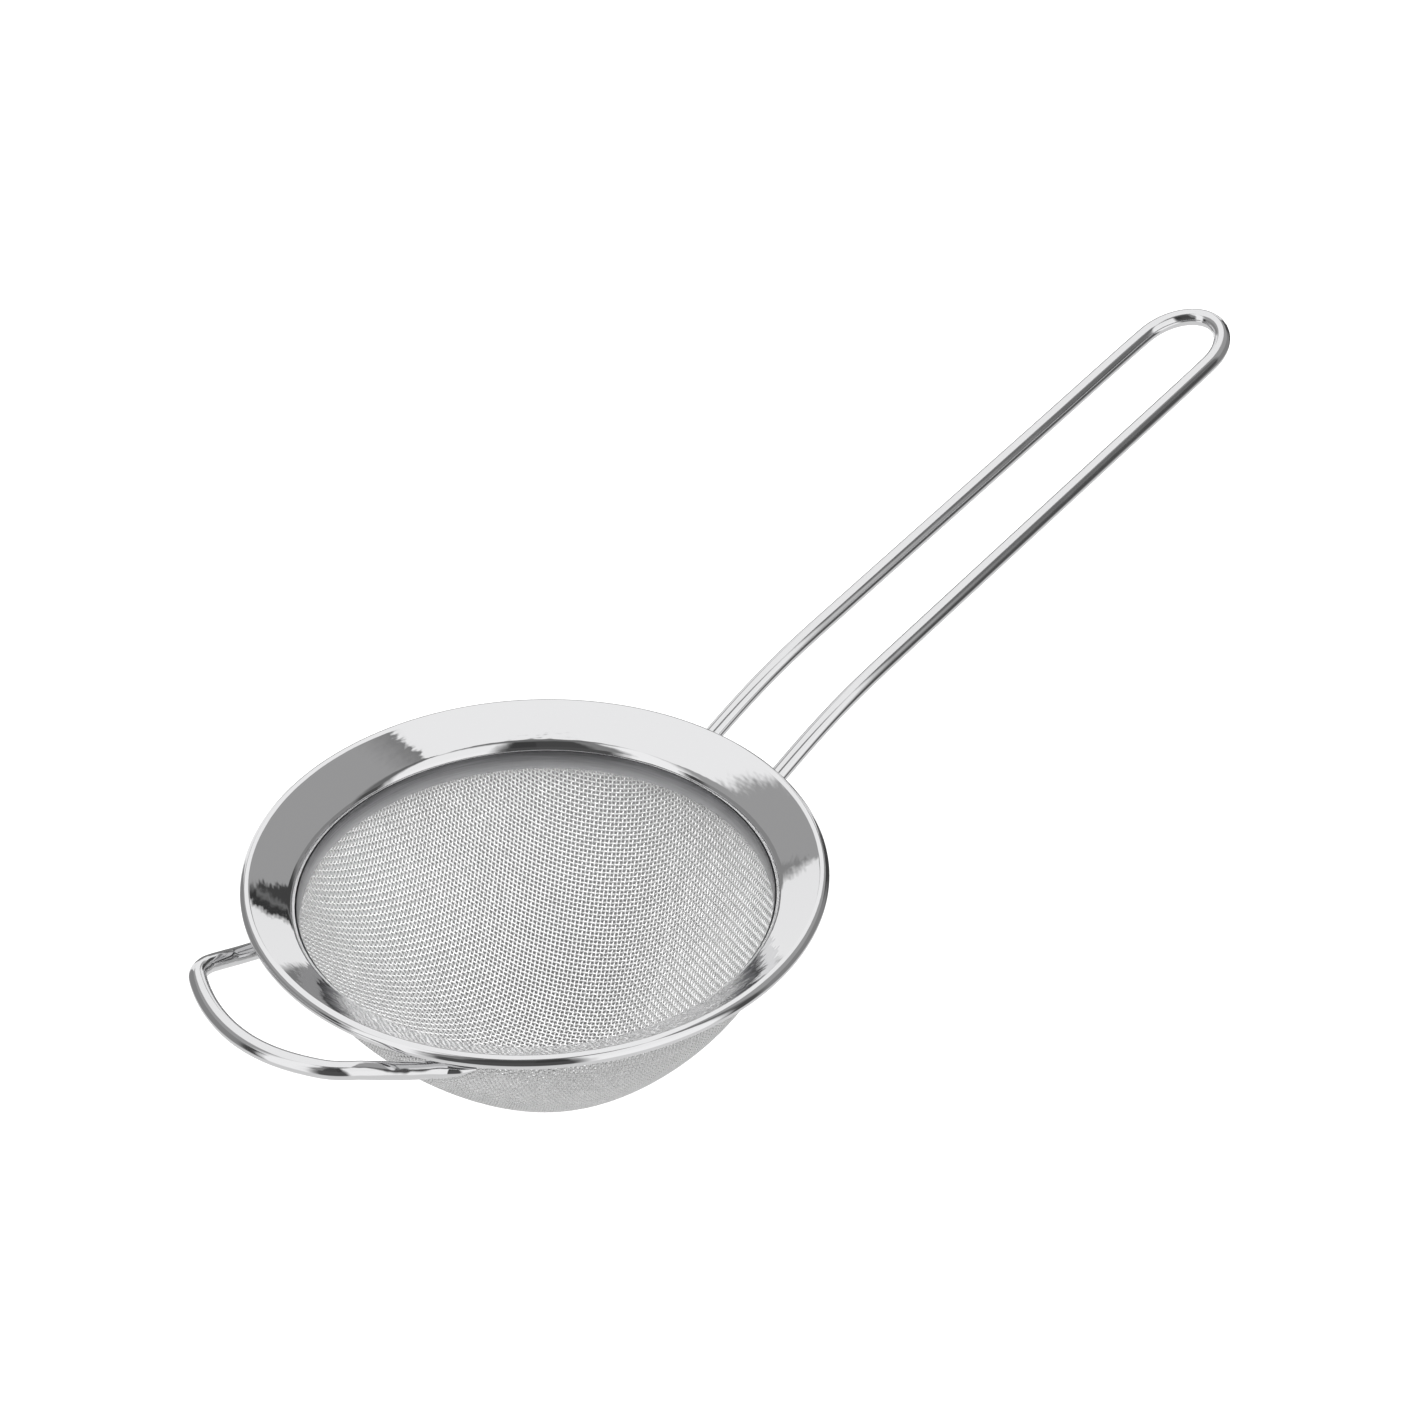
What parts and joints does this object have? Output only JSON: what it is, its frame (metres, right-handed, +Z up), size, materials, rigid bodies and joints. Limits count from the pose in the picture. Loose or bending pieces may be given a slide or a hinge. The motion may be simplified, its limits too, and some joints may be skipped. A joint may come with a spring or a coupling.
{
  "type": "tea strainer",
  "caption": "Hand-held tea strainer: round woven-wire bowl clamped in a funnel rim, with a long bent-wire handle and a short wire rest loop opposite it.",
  "frame": {"origin": "lowest point of the bowl, at the centre of the small flat it rests on", "axes": "+X towards the handle's end, +Z up out of the bowl along the rim's axis"},
  "size_m": [0.1952, 0.08, 0.0599],
  "materials": {
    "polished_rim": "mirror-polished stainless steel",
    "satin_band": "dull satin stainless steel",
    "woven_mesh": "bright drawn steel wire, plain weave",
    "polished_wire": "mirror-polished round steel wire"
  },
  "bodies": {
    "root": {"funnel_rim": "polished_rim", "clamp_band": "satin_band", "mesh_basket": "woven_mesh", "handle_wire": "polished_wire", "rest_loop": "polished_wire"}
  },
  "joints": []
}
